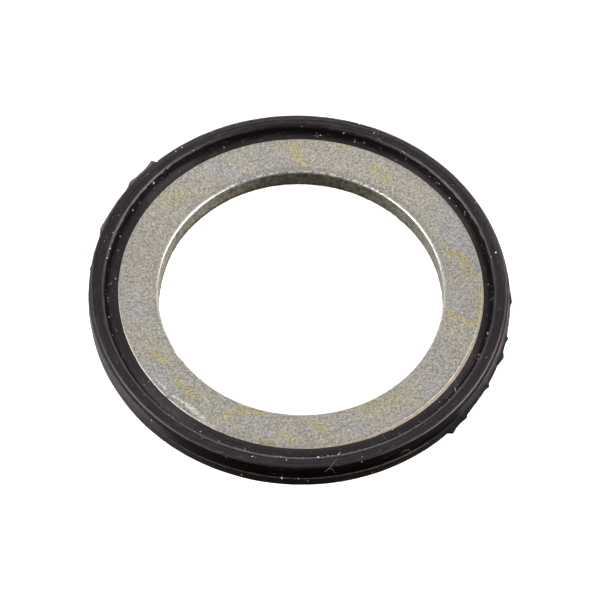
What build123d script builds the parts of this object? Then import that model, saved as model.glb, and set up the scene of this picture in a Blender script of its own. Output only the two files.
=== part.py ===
from build123d import *
import os
from math import cos, sin, radians

# Drain plug seal: a flat stamped steel washer with a rubber sealing ring bonded all
# round its outer edge. Millimetres, +Z along the bore, origin at the centre of the bore
# at mid thickness. The seal lies flat, with one bead down.

os.makedirs("parts", exist_ok=True)

# ---------------------------------------------------------------- driving dimensions
bore_r = 10.25            # plain bore, clears a 20 mm plug thread
washer_r = 13.15          # outer edge of the steel, where the rubber starts
washer_t = 1.60           # sheet thickness
bore_edge_r = 0.12        # tumbled edge at both ends of the bore
roll_w = 0.26             # rolled shoulder of the stamped outer edge, radial width
roll_h = 0.07             # its drop below the face

ring_off_x = -0.085       # the moulding sits a little off the washer's centre
ring_off_y = 0.0

land_z = 0.745            # flush rubber land beside the steel, from mid thickness
land_mid_z = 0.775        # the land is slightly crowned
groove_r = 13.74          # foot of the bead, inner side
groove_z = 0.70
bead_in_r = 13.92         # inner crest of the bead
bead_top_z = 1.150        # height of the inner crest above mid thickness
crest_r = 14.05
dish_r = 14.36            # shallow dish along the top of the bead
dish_z = 1.085
bead_out_r = 14.83        # outer crest
bead_out_z = 1.105
wall_r = 15.00            # outer side of the bead
wall_top_z = 0.93
foot_r = 14.965           # small step under the bead
foot_z = 0.70
part_r = 15.12            # parting line of the mould, at mid thickness

flash_t = 0.11            # thickness of the torn flash on the parting line
flash_root_r = 14.95      # the flash starts inside the side wall

# Torn flash: angle in degrees from +X, and radius from the washer's centre in mm.
# Between these stretches the flash was torn off flush.
flash_right_low = [(-52, 15.05), (-50.5, 15.24), (-48, 15.30), (-45.6, 15.38), (-44.6, 15.52), (-44.0, 15.66),
                   (-43.2, 15.57), (-42, 15.49), (-40.6, 15.45), (-39, 15.47), (-38.0, 15.50),
                   (-37.3, 15.37), (-35.5, 15.30), (-32, 15.25), (-29.2, 15.22), (-27.9, 15.27),
                   (-27.1, 15.36), (-26.2, 15.25), (-24, 15.20), (-21, 15.17), (-19.3, 15.23),
                   (-17.2, 15.37), (-16.1, 15.29), (-14.6, 15.18), (-12.4, 15.18), (-11.1, 15.27),
                   (-10.0, 15.16), (-8.5, 15.02)]
flash_right = [(-1.2, 15.03), (-0.1, 15.12), (0.9, 15.24), (2.0, 15.19), (3.4, 15.15), (5.0, 15.02)]
flash_left_top = [(132.6, 15.05), (133.4, 15.52), (134.2, 15.78), (135.4, 15.73), (137.0, 15.66),
                  (138.6, 15.65), (140.2, 15.63), (141.6, 15.68), (142.6, 15.73), (143.4, 15.69),
                  (144.2, 15.60), (145.2, 15.51), (147.0, 15.49), (150, 15.49), (153, 15.48),
                  (156, 15.48), (158.5, 15.51), (159.6, 15.48), (160.8, 15.41), (162.0, 15.31),
                  (165, 15.27), (168.4, 15.27), (169.8, 15.12), (170.6, 15.05)]
flash_left = [(171.2, 15.05), (172.4, 15.30), (173.2, 15.28), (174.4, 15.05)]

# ---------------------------------------------------------------- steel washer
h = washer_t / 2

with BuildPart() as washer:
    with BuildSketch(Plane.XZ):
        with BuildLine():
            # bore side, with both edges rounded
            b1 = Line((bore_r, -(h - bore_edge_r)), (bore_r, h - bore_edge_r))
            b2 = RadiusArc((bore_r, h - bore_edge_r), (bore_r + bore_edge_r, h), bore_edge_r)
            t1 = Line((bore_r + bore_edge_r, h), (washer_r - roll_w, h))
            t2 = TangentArc((washer_r - roll_w, h), (washer_r, h - roll_h), tangent=(1, 0))
            w1 = Line((washer_r, h - roll_h), (washer_r, -(h - roll_h)))
            l2 = TangentArc((washer_r - roll_w, -h), (washer_r, -(h - roll_h)), tangent=(1, 0))
            l1 = Line((washer_r - roll_w, -h), (bore_r + bore_edge_r, -h))
            b3 = RadiusArc((bore_r + bore_edge_r, -h), (bore_r, -(h - bore_edge_r)), bore_edge_r)
        make_face()
    revolve(axis=Axis.Z)
steel_washer = washer.part
steel_washer.label = "steel_washer"

# ---------------------------------------------------------------- rubber ring
# Half section from the land to the parting line, as one chain of points and arcs. The
# lower half is its mirror image. The inner side is cut to the washer's edge afterwards.
inner_r = washer_r - 0.6


def half_section(s):
    """Edges of the upper (s=+1) or lower (s=-1) half of the rubber's section."""
    p = lambda r, z: (r, 0, s * z)
    return [
        Line(p(inner_r, 0), p(inner_r, land_z)),
        Line(p(inner_r, land_z), p(washer_r, land_z)),
        ThreePointArc(p(washer_r, land_z), p((washer_r + groove_r) / 2, land_mid_z), p(groove_r, groove_z)),
        Line(p(groove_r, groove_z), p(bead_in_r, bead_top_z - 0.11)),
        ThreePointArc(p(bead_in_r, bead_top_z - 0.11), p(crest_r - 0.075, bead_top_z - 0.028), p(crest_r, bead_top_z)),
        ThreePointArc(p(crest_r, bead_top_z), p(dish_r, dish_z), p(bead_out_r, bead_out_z)),
        ThreePointArc(p(bead_out_r, bead_out_z), p(wall_r - 0.045, bead_out_z - 0.065), p(wall_r, wall_top_z)),
        Line(p(wall_r, wall_top_z), p(foot_r, foot_z)),
        Line(p(foot_r, foot_z), p(part_r, 0)),
    ]


section = Face(Wire(half_section(1) + half_section(-1)))
ring_axis = Axis((ring_off_x, ring_off_y, 0), (0, 0, 1))
body = revolve(section.moved(Location((ring_off_x, ring_off_y, 0))), axis=ring_axis)

with BuildPart() as ring:
    add(body)
    # torn flash, a thin skirt on the parting line
    for run in (flash_right_low, flash_right, flash_left_top, flash_left):
        outer = [(r * cos(radians(a)), r * sin(radians(a))) for a, r in run]
        back = [(flash_root_r * cos(radians(a)), flash_root_r * sin(radians(a))) for a, _ in reversed(run)]
        with BuildSketch(Plane.XY.offset(-flash_t / 2)):
            with BuildLine():
                Polyline(*outer, *back, close=True)
            make_face()
        extrude(amount=flash_t)
rubber = ring.part
# the rubber was moulded against the washer's outer edge
rubber = rubber - Cylinder(washer_r, 6)
solids = rubber.solids()
rubber_ring = solids[0] if len(solids) == 1 else Compound(children=list(solids))
rubber_ring.label = "rubber_ring"

# ---------------------------------------------------------------- write
for node in (steel_washer, rubber_ring):
    export_step(node, f"parts/{node.label}.step")
    bb = node.bounding_box()
    print(node.label, "volume %.2f mm3" % node.volume, "solids", len(node.solids()),
          "box", tuple(round(v, 3) for v in (bb.min.X, bb.min.Y, bb.min.Z, bb.max.X, bb.max.Y, bb.max.Z)))
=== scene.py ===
import bpy, math, random
import numpy as np
from mathutils import Vector, Matrix
from mathutils.bvhtree import BVHTree


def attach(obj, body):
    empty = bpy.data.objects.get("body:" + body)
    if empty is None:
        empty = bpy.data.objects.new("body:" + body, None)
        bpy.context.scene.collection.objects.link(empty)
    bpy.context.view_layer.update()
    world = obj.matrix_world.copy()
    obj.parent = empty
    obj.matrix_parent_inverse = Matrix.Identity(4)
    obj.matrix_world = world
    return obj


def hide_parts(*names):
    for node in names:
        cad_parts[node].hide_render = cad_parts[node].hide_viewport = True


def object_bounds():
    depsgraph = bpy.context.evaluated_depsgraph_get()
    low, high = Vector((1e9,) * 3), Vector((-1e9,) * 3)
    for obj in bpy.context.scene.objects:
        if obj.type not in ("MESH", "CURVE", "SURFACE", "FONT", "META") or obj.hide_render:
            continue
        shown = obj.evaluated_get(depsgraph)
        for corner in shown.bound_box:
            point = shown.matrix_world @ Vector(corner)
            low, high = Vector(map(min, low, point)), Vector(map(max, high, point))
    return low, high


# Looks of a bonded drain plug seal: a plated steel washer with a rubber ring moulded on its edge.
# Lengths in this file are millimetres until a mesh is made, and metres in the meshes.
MM = 0.001
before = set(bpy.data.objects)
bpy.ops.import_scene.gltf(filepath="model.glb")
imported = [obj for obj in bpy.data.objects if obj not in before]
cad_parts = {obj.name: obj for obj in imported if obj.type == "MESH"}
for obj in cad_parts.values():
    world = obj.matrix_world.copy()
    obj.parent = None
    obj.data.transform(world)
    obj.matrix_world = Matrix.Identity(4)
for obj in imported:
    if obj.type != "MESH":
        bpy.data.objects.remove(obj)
cad_lo, cad_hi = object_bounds()
scene = bpy.context.scene
rng = np.random.default_rng(20)

# ------------------------------------------------------------------ dimensions, as in the part's source
BORE_R, WASHER_R, HALF_T = 10.25, 13.15, 0.80
BORE_EDGE_R = 0.12
OFF_X, OFF_Y = -0.130, 0.030      # the moulding's upper half sits a little off the washer's centre
LOW_OFF_X = -0.085                # and its lower half, from the other mould plate, a little less
PART_R = 15.170                   # parting line, from the moulding's own centre


# ------------------------------------------------------------------ small tools
def smooth(a, b, x):
    t = np.clip((np.asarray(x, float) - a) / (b - a), 0, 1)
    return t * t * (3 - 2 * t)


def wrap(deg):
    """Angle in degrees brought to -180..180."""
    return (np.asarray(deg, float) + 180) % 360 - 180


def harmonics(phi_deg, seed, orders, amp):
    """A smooth closed wobble round the ring."""
    r = np.random.default_rng(seed)
    out = np.zeros_like(phi_deg, float)
    for n in orders:
        out += r.normal() * np.cos(np.radians(n * phi_deg) + r.uniform(0, 6.283))
    return amp * out / math.sqrt(len(orders))


def noise_track(phi_deg, seed, step, amp):
    """Closed piecewise-smooth noise with one value every step degrees."""
    r = np.random.default_rng(seed)
    n = int(round(360 / step))
    v = r.normal(0, amp, n)
    x = (np.asarray(phi_deg, float) % 360) / 360 * n
    i = np.floor(x).astype(int)
    t = x - i
    t = t * t * (3 - 2 * t)
    return v[i % n] * (1 - t) + v[(i + 1) % n] * t


def table(phi, pairs):
    """Closed curve through (degrees, value) pairs."""
    p = np.array(sorted(pairs), float)
    ang = np.concatenate([p[:, 0] - 360, p[:, 0], p[:, 0] + 360])
    return np.interp(wrap(phi), ang, np.tile(p[:, 1], 3))


def fillet_path(points):
    """Points (r, z, fillet radius, arc steps) joined by straight runs and rounded corners."""
    P = [np.array(p[:2], float) for p in points]
    out = [P[0]]
    for k in range(1, len(P) - 1):
        rad, n = points[k][2], points[k][3]
        a, b, c = P[k - 1], P[k], P[k + 1]
        u, v = (a - b), (c - b)
        lu, lv = np.linalg.norm(u), np.linalg.norm(v)
        u, v = u / lu, v / lv
        ang = math.acos(np.clip(u @ v, -1, 1))
        if rad <= 0 or abs(math.pi - ang) < 1e-4:
            out.append(b)
            continue
        t = min(rad / math.tan(ang / 2), 0.48 * lu, 0.48 * lv)
        rad = t * math.tan(ang / 2)
        p0, p1 = b + u * t, b + v * t
        m = u + v
        centre = b + m / np.linalg.norm(m) * (rad / math.sin(ang / 2))
        a0 = math.atan2(*(p0 - centre)[::-1])
        a1 = math.atan2(*(p1 - centre)[::-1])
        d = (a1 - a0 + math.pi) % (2 * math.pi) - math.pi
        for s in range(n + 1):
            q = a0 + d * s / n
            out.append(centre + rad * np.array([math.cos(q), math.sin(q)]))
    out.append(P[-1])
    return np.array(out)


def torus_mesh(name, X, Y, Z, attributes=()):
    """A closed ring from grids of shape (columns, section points), in millimetres."""
    nc, npt = X.shape
    co = np.stack([X, Y, Z], -1).reshape(-1, 3) * MM
    i = np.arange(nc)[:, None]
    j = np.arange(npt)[None, :]
    a = i * npt + j
    b = ((i + 1) % nc) * npt + j
    c = ((i + 1) % nc) * npt + (j + 1) % npt
    d = i * npt + (j + 1) % npt
    faces = np.stack([a + 0 * b, b, c, d + 0 * b], -1).reshape(-1, 4)
    me = bpy.data.meshes.new(name)
    me.from_pydata(co.tolist(), [], faces.tolist())
    me.update()
    # smooth shading
    me.polygons.foreach_set("use_smooth", [True] * len(me.polygons))
    for an, av in attributes:
        at = me.attributes.new(an, "FLOAT", "POINT")
        at.data.foreach_set("value", np.asarray(av, np.float32).reshape(-1))
    me.update()
    ob = bpy.data.objects.new(name, me)
    scene.collection.objects.link(ob)
    return ob


# ------------------------------------------------------------------ camera, at the photograph's viewing angle
LENS_PX, CAM_UP = 10822.13, 57.9492
ROLL = 1.9277
e, rho = math.radians(CAM_UP), math.radians(ROLL)
back = Vector((0, -math.cos(e), math.sin(e)))
right0 = Vector((1, 0, 0))
up0 = right0.cross(-back)
right = right0 * math.cos(rho) + up0 * math.sin(rho)
up = -right0 * math.sin(rho) + up0 * math.cos(rho)
CAM = (Vector((-0.00644, -413.0634, 659.4918)) - 0.0359 * right + 0.0359 * up) * MM
cam_data = bpy.data.cameras.new("camera")
cam_data.sensor_width = 36.0
cam_data.lens = LENS_PX / 600 * 36.0
cam_data.clip_start, cam_data.clip_end = 0.05, 20.0
cam = bpy.data.objects.new("camera", cam_data)
cam.matrix_world = Matrix((right, up, back)).transposed().to_4x4()
cam.location = CAM
scene.collection.objects.link(cam)
scene.camera = cam


def ray_of(px, py):
    """Origin and direction, in metres, of the ray through a point of the 600 x 600 frame."""
    d = -back + right * ((px - 300) / LENS_PX) - up * ((py - 300) / LENS_PX)
    return CAM.copy(), d.normalized()


def on_plane(px, py, z_mm):
    o, d = ray_of(px, py)
    t = (z_mm * MM - o.z) / d.z
    p = o + d * t
    return p.x / MM, p.y / MM


# ------------------------------------------------------------------ torn mould flash: degrees, mm from the washer's centre
FLASH = [
    [(-52, 15.111), (-50.5, 15.191), (-48, 15.251), (-46.4, 15.301), (-45.2, 15.35), (-44.6, 15.47), (-44.1, 15.625),
     (-43.6, 15.59), (-43, 15.53), (-42.2, 15.47), (-41.2, 15.43), (-40.3, 15.42), (-39.3, 15.43), (-38.6, 15.46),
     (-38.1, 15.47), (-37.7, 15.42), (-37.3, 15.33), (-36, 15.3), (-34.6, 15.26), (-32, 15.221), (-30.4, 15.221),
     (-29, 15.201), (-27.85, 15.231), (-27.25, 15.281), (-26.8, 15.346), (-26.35, 15.301), (-25.95, 15.222),
     (-25.2, 15.177), (-23.4, 15.162), (-21.4, 15.153), (-19.75, 15.153), (-18.95, 15.203), (-17.95, 15.264),
     (-17.15, 15.319), (-16.55, 15.349), (-16.15, 15.304), (-15.65, 15.244), (-14.75, 15.165), (-13.35, 15.15),
     (-12.15, 15.156), (-11.35, 15.206), (-10.75, 15.251), (-10.35, 15.217), (-9.85, 15.137), (-8.55, 15.117), (-7.55, 15.098)],
    [(-1, 15.101), (0, 15.117), (0.5, 15.162), (0.95, 15.228), (1.6, 15.198), (2.6, 15.169), (3.6, 15.144),
     (4.6, 15.125), (6, 15.106)],
    [(171.5, 15.281), (172.1, 15.356), (172.8, 15.376), (173.3, 15.336), (173.9, 15.275), (175, 15.275)],
]


# torn lip on the left, standing out from the bead's outer shoulder; given as it would lie at mid height
LIP_Z = 1.165
LIP_EDGE = [
    (132.8, 15.193), (133.3, 15.473), (133.7, 15.763), (134.1, 15.944), (134.8, 15.884), (135.6, 15.810), (136.6, 15.754),
    (138, 15.719), (139.4, 15.734), (140.4, 15.709), (141.2, 15.734), (142, 15.794), (142.7, 15.804), (143.3, 15.774),
    (143.8, 15.714), (144.4, 15.654), (145.2, 15.594), (146.4, 15.564), (148, 15.573), (149.4, 15.578), (151.4, 15.558),
    (153.6, 15.548), (156, 15.552), (157.6, 15.562), (158.6, 15.586), (159.3, 15.56), (159.65, 15.625), (160, 15.535),
    (160.2, 15.521), (161.2, 15.461), (162, 15.39), (163.4, 15.355), (165.4, 15.334), (166.9, 15.33), (167.2, 15.365),
    (167.5, 15.405), (167.8, 15.35), (168.2, 15.333), (169.4, 15.307), (170.4, 15.287), (171.2, 15.282),
]


def flash_radius(phi):
    """Radius of the torn edge from the washer's centre, or 0 where the flash is torn off flush."""
    out = np.zeros_like(phi)
    for run in FLASH:
        a = np.array([p[0] for p in run], float)
        r = np.array([p[1] for p in run], float)
        k = (phi >= a[0]) & (phi <= a[-1])
        out[k] = np.interp(phi[k], a, r)
    return out


# ------------------------------------------------------------------ rubber ring
def ring_columns():
    fine = np.concatenate([np.arange(-53, 6.6, 0.30), np.arange(131.6, 175.6, 0.30)])
    coarse = np.arange(-180, 180, 0.85)
    keep = np.array([not ((-53.6 < c < 7.2) or (131.0 < c < 176.2)) for c in coarse])
    return np.sort(np.concatenate([fine, coarse[keep]]))


# ------------------------------------------------------------------ section: r from the moulding's centre, z above mid thickness
LAND = [(13.15, 0.60, 0, 1), (13.15, 0.762, 0.02, 2), (13.455, 0.762, 0.30, 4), (13.700, 0.706, 0.06, 3)]
GROOVE_Z, NECK_TILT = 0.590, 86.0
CREST = (14.296, 1.199)                                           # innermost level point of the bead's top
CREST_ARCS = [(0.342, 0, 20), (0.325, 20, 45), (0.270, 45, NECK_TILT)]
TOP = [(0.03, 0.0, 0.05), (14.387, 1.184, 0.12), (14.500, 1.197, 0.08), (14.590, 1.204, 0.06), (14.650, 1.190, 0.08)]
SHOULDER = (14.849, 1.210)                                        # outermost level point of the bead's top
SHOULDER_ARCS = [(0.060, 0, 25), (0.320, 25, 50), (0.080, 50, 90)]
WALL = [(14.998, 0.900, 0.04), (15.020, 0.842, 0.03), (15.112, 0.735, 0.05), (15.126, 0.600, 0.10), (15.130, 0.130, 0.02)]
RIDGE_ROOT = (15.136, 0.088)


def arc_down(start, arcs, side, steps):
    """Arcs (radius, tilt from, tilt to) falling away from a level point, inwards (-1) or outwards (+1)."""
    p, out = start, []
    for (rad, t0, t1), n in zip(arcs, steps):
        for k in range(1, n + 1):
            u, v = math.radians(t0), math.radians(t0 + (t1 - t0) * k / n)
            out.append((p[0] + side * rad * (math.sin(v) - math.sin(u)), p[1] - rad * (math.cos(u) - math.cos(v))))
        p = out[-1]
    return out


def half_section(fine):
    """Upper half from the steel to the parting line."""
    f = 1 if fine else 0.5
    n = lambda k: max(2, int(round(k * f)))
    inner = arc_down(CREST, CREST_ARCS, -1, (n(4), n(4), n(6)))[::-1]
    top_of_neck = inner[0]
    run = (top_of_neck[1] - GROOVE_Z) / math.tan(math.radians(NECK_TILT))
    land = [(r, z, c, n(k)) for r, z, c, k in LAND]
    base = fillet_path(land + [(top_of_neck[0] - run, GROOVE_Z, 0.012, n(3)), (*top_of_neck, 0, 1)])
    top = [(*CREST, 0, 1), (CREST[0] + TOP[0][0], CREST[1], TOP[0][2], n(2))]
    top += [(r, z, c, n(2)) for r, z, c in TOP[1:]] + [(SHOULDER[0] - 0.03, SHOULDER[1], 0.05, n(2)), (*SHOULDER, 0, 1)]
    outer = arc_down(SHOULDER, SHOULDER_ARCS, 1, (n(4), n(5), n(6)))
    wall = fillet_path([(*outer[-1], 0, 1)] + [(r, z, c, n(3)) for r, z, c in WALL] + [(*RIDGE_ROOT, 0, 1)])
    return np.vstack([base[:-1], np.array(inner[:-1]), fillet_path(top), np.array(outer), wall[1:]])


def lap(phi):
    """How far the rubber reaches in over the washer's chamfered outer edge."""
    w = table(phi, [(-180, 0.020), (-165, 0.035), (-150, 0.054), (-135, 0.062), (-120, 0.072), (-105, 0.064), (-90, 0.068),
                    (-75, 0.062), (-60, 0.055), (-45, 0.050), (-30, 0.030), (-15, 0.018), (0, 0.010), (15, 0.0), (165, 0.0)])
    return w * (1 + noise_track(phi, 39, 1.7, 0.10))


def lip_radius(phi):
    """Radius of the torn lip from the washer's centre, or 0 beside it."""
    q = np.radians([p[0] for p in LIP_EDGE])
    rad = np.array([p[1] for p in LIP_EDGE])
    x, y = rad * np.cos(q), rad * np.sin(q) - 0.626 * LIP_Z
    ang, r = np.degrees(np.arctan2(y, x)), np.hypot(x, y)
    on = (phi >= ang.min()) & (phi <= ang.max())
    k = np.argsort(ang)
    return np.where(on, np.interp(phi, ang[k], r[k]), 0)


def build_ring():
    phi = ring_columns()
    nc = len(phi)
    cosp, sinp = np.cos(np.radians(phi)), np.sin(np.radians(phi))
    upper = half_section(True)
    n_up = len(upper)
    lower = half_section(False)[::-1].copy()
    lower[:, 1] *= -1
    # flash: root, tip, root
    sec = np.vstack([upper, [[PART_R, 0.018], [PART_R, 0.0], [PART_R, -0.018]], lower])
    i_tip = n_up + 1
    npt = len(sec)
    r = np.repeat(sec[None, :, 0], nc, 0)
    z = np.repeat(sec[None, :, 1], nc, 0)
    # slow unevenness of the moulding
    wob = harmonics(phi, 3, (2, 3, 5), 0.006)
    r = r + smooth(13.6, 13.9, sec[:, 0])[None] * wob[:, None]
    zw = harmonics(phi, 7, (2, 3, 4), 0.006)
    z = z + smooth(0.8, 1.0, sec[:, 1])[None] * zw[:, None]
    # fine unevenness of crest, shoulder, foot and parting line
    crest = smooth(13.85, 14.0, sec[:, 0]) * (1 - smooth(14.2, 14.4, sec[:, 0]))
    z = z + crest[None] * np.sign(sec[:, 1])[None] * noise_track(phi, 11, 2.3, 0.0035)[:, None]
    brow = smooth(14.80, 14.86, sec[:, 0]) * smooth(0.9, 1.0, np.abs(sec[:, 1]))
    r = r + brow[None] * noise_track(phi, 13, 3.1, 0.004)[:, None]
    neck = smooth(13.86, 13.92, sec[:, 0]) * (1 - smooth(13.99, 14.08, sec[:, 0])) * (sec[:, 1] > 0)
    r = r + neck[None] * (noise_track(phi, 29, 0.9, 0.014) + noise_track(phi, 30, 2.7, 0.010))[:, None]
    # inner crest, outer shoulder and foot of the neck wander a little round the ring
    inner = smooth(13.86, 13.95, sec[:, 0]) * (1 - smooth(14.25, 14.36, sec[:, 0])) * smooth(0.72, 0.80, sec[:, 1])
    r = r + inner[None] * table(phi, [(-180, 0), (-60, 0), (0, 0), (15, -0.01), (30, -0.035), (45, -0.075), (60, -0.045), (75, -0.02),
                                      (100, 0.0), (120, 0.02), (135, 0.012), (150, -0.025), (165, -0.005)])[:, None]
    outer = smooth(14.68, 14.76, sec[:, 0]) * smooth(1.00, 1.06, sec[:, 1])
    r = r + outer[None] * table(phi, [(-165, -0.04), (-150, -0.045), (-135, -0.035), (-120, 0), (-90, 0), (-72, -0.01), (-60, -0.035),
                                      (-45, -0.02), (-30, -0.045), (-15, -0.06), (-3, -0.045), (10, 0), (180, 0)])[:, None]
    foot = smooth(13.80, 13.86, sec[:, 0]) * (1 - smooth(13.98, 14.06, sec[:, 0])) * (1 - smooth(0.66, 0.95, sec[:, 1])) * (sec[:, 1] > 0)
    r = r - foot[None] * (0.075 * (1 - smooth(40, 75, np.abs(wrap(phi + 95)))))[:, None]
    # the step of the side wall runs out on the near side
    from_near = wrap(phi + 90)
    near = np.where(from_near > 0, 1 - 0.999 * smooth(50, 74, from_near), 1 - smooth(32, 52, -from_near))
    k = (sec[:, 0] > 14.95) & (sec[:, 1] > 0.70) & (sec[:, 1] < 1.02)
    fill = smooth(0.735, 0.80, sec[:, 1]) * (1 - smooth(0.90, 1.02, sec[:, 1])) * k
    r = r + fill[None] * near[:, None] * 0.070
    # flash outline, from the washer's centre to the moulding's
    lip = lip_radius(phi)
    fr = flash_radius(phi)
    ridge = PART_R + 0.020 + noise_track(phi, 17, 1.1, 0.006) + harmonics(phi, 19, (3, 7, 12), 0.004)
    torn = np.where(fr > 0, fr - (LOW_OFF_X * cosp + OFF_Y * sinp), 0)
    tip = np.maximum(ridge, torn)
    width = tip - ridge
    droop = -0.16 * np.clip(width - 0.03, 0, 1) + noise_track(phi, 23, 3.0, 0.010) * np.clip(width * 6, 0, 1)
    for k, s in ((i_tip - 1, 1), (i_tip, 0), (i_tip + 1, -1)):
        r[:, k] = tip - (0.010 if s else 0.0)
        z[:, k] = droop + s * (0.018 + 0.01 * np.clip(width * 4, 0, 1))
    for k, s in ((i_tip - 2, 1), (i_tip + 2, -1)):
        r[:, k] = RIDGE_ROOT[0] + wob * 0.6
        z[:, k] = s * (RIDGE_ROOT[1] - 0.02 * np.clip(width * 4, 0, 1))
    # the lip: the shoulder's arc is drawn out over it and comes back under it
    arc = np.where((sec[:, 0] > SHOULDER[0] - 0.04) & (sec[:, 1] > 0.95))[0]
    rl = lip - (OFF_X * cosp + OFF_Y * sinp)
    on = lip > 0
    reach = np.where(on, rl - 14.98, 0)
    out_n = int(len(arc) * 0.62)
    nose = [(-0.030, -0.000), (-0.010, -0.008), (0.0, -0.026), (-0.008, -0.046), (-0.030, -0.056)]
    for m, k in enumerate(arc):
        if m < out_n:
            t = (m + 1) / out_n
            pr = SHOULDER[0] - 0.03 + (rl - 0.045 - SHOULDER[0] + 0.03) * t
            pz = SHOULDER[1] + zw - (0.020 + 0.10 * reach) * t ** 1.7
        elif m - out_n < len(nose):
            pr = rl + nose[m - out_n][0]
            pz = SHOULDER[1] + zw - (0.022 + 0.10 * reach) + nose[m - out_n][1]
        else:
            t = (m - out_n - len(nose) + 1) / (len(arc) - out_n - len(nose) + 1)
            pr = (rl - 0.030) + (15.0 - rl + 0.030) * t
            pz = SHOULDER[1] + zw - (0.078 + 0.10 * reach) - 0.05 * t
        r[:, k] = np.where(on, pr, r[:, k])
        z[:, k] = np.where(on, pz, z[:, k])
    # place: land stays on the washer's centre at the steel, the rest is on the moulding's
    edge = (sec[:, 0] < 13.20) & (sec[:, 1] > 0.70)
    r = r - edge[None] * lap(phi)[:, None]
    blend = smooth(13.15, 13.62, r)
    offx = np.where(np.arange(npt) < i_tip - 1, OFF_X, LOW_OFF_X)[None, :]
    X = r * cosp[:, None] + offx * blend
    Y = r * sinp[:, None] + OFF_Y * blend
    ob = torus_mesh("rubber_seal_ring", X, Y, z)
    # faces of the torn flash carry a material of their own
    index = np.zeros((nc, npt), np.int32)
    wide = (width > 0.035) | (np.roll(width, -1) > 0.035)
    for k in range(i_tip - 2, i_tip + 2):
        index[:, k] = wide
    return ob, phi, index


ring, ring_phi, ring_index = build_ring()


# ------------------------------------------------------------------ steel washer
def ledge_width(phi):
    """Width of the coined ledge along the outer edge: widest at the lower right."""
    w = table(phi, [(-180, 0.07), (-150, 0.09), (-120, 0.09), (-95, 0.13), (-75, 0.21), (-60, 0.25), (-40, 0.28), (-20, 0.25),
                    (0, 0.17), (15, 0.11), (45, 0.07), (90, 0.06), (135, 0.06)])
    return w * (1 + noise_track(phi, 31, 4.0, 0.05)) + noise_track(phi, 33, 1.3, 0.004)


def edge_radius(phi):
    """The punched upper edge of the bore is rounded at the far side and sharp at the near side."""
    w = table(phi, [(-180, 0.15), (-165, 0.10), (-150, 0.05), (-90, 0.03), (-30, 0.04), (-15, 0.08), (0, 0.13), (20, 0.17),
                    (45, 0.18), (65, 0.16), (90, 0.13), (115, 0.16), (135, 0.19), (155, 0.18)])
    return w * (1 + noise_track(phi, 35, 2.1, 0.07) + noise_track(phi, 36, 0.9, 0.05))


def foot_shift(phi):
    """How far the bore's lower edge stands in from its upper one."""
    w = table(phi, [(-180, 0.095), (-168, 0.05), (-158, 0.0), (-90, 0.0), (-15, 0.0), (0, 0.030), (15, 0.043), (30, 0.025),
                    (44, 0.035), (47.5, 0.060), (49, 0.015), (52, 0.010), (56, 0.030), (64, 0.022), (75, 0.0), (105, 0.0),
                    (120, 0.022), (135, 0.058), (150, 0.066), (158, 0.085), (165, 0.112), (173, 0.118)])
    return w + noise_track(phi, 37, 1.2, 0.006)


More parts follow.
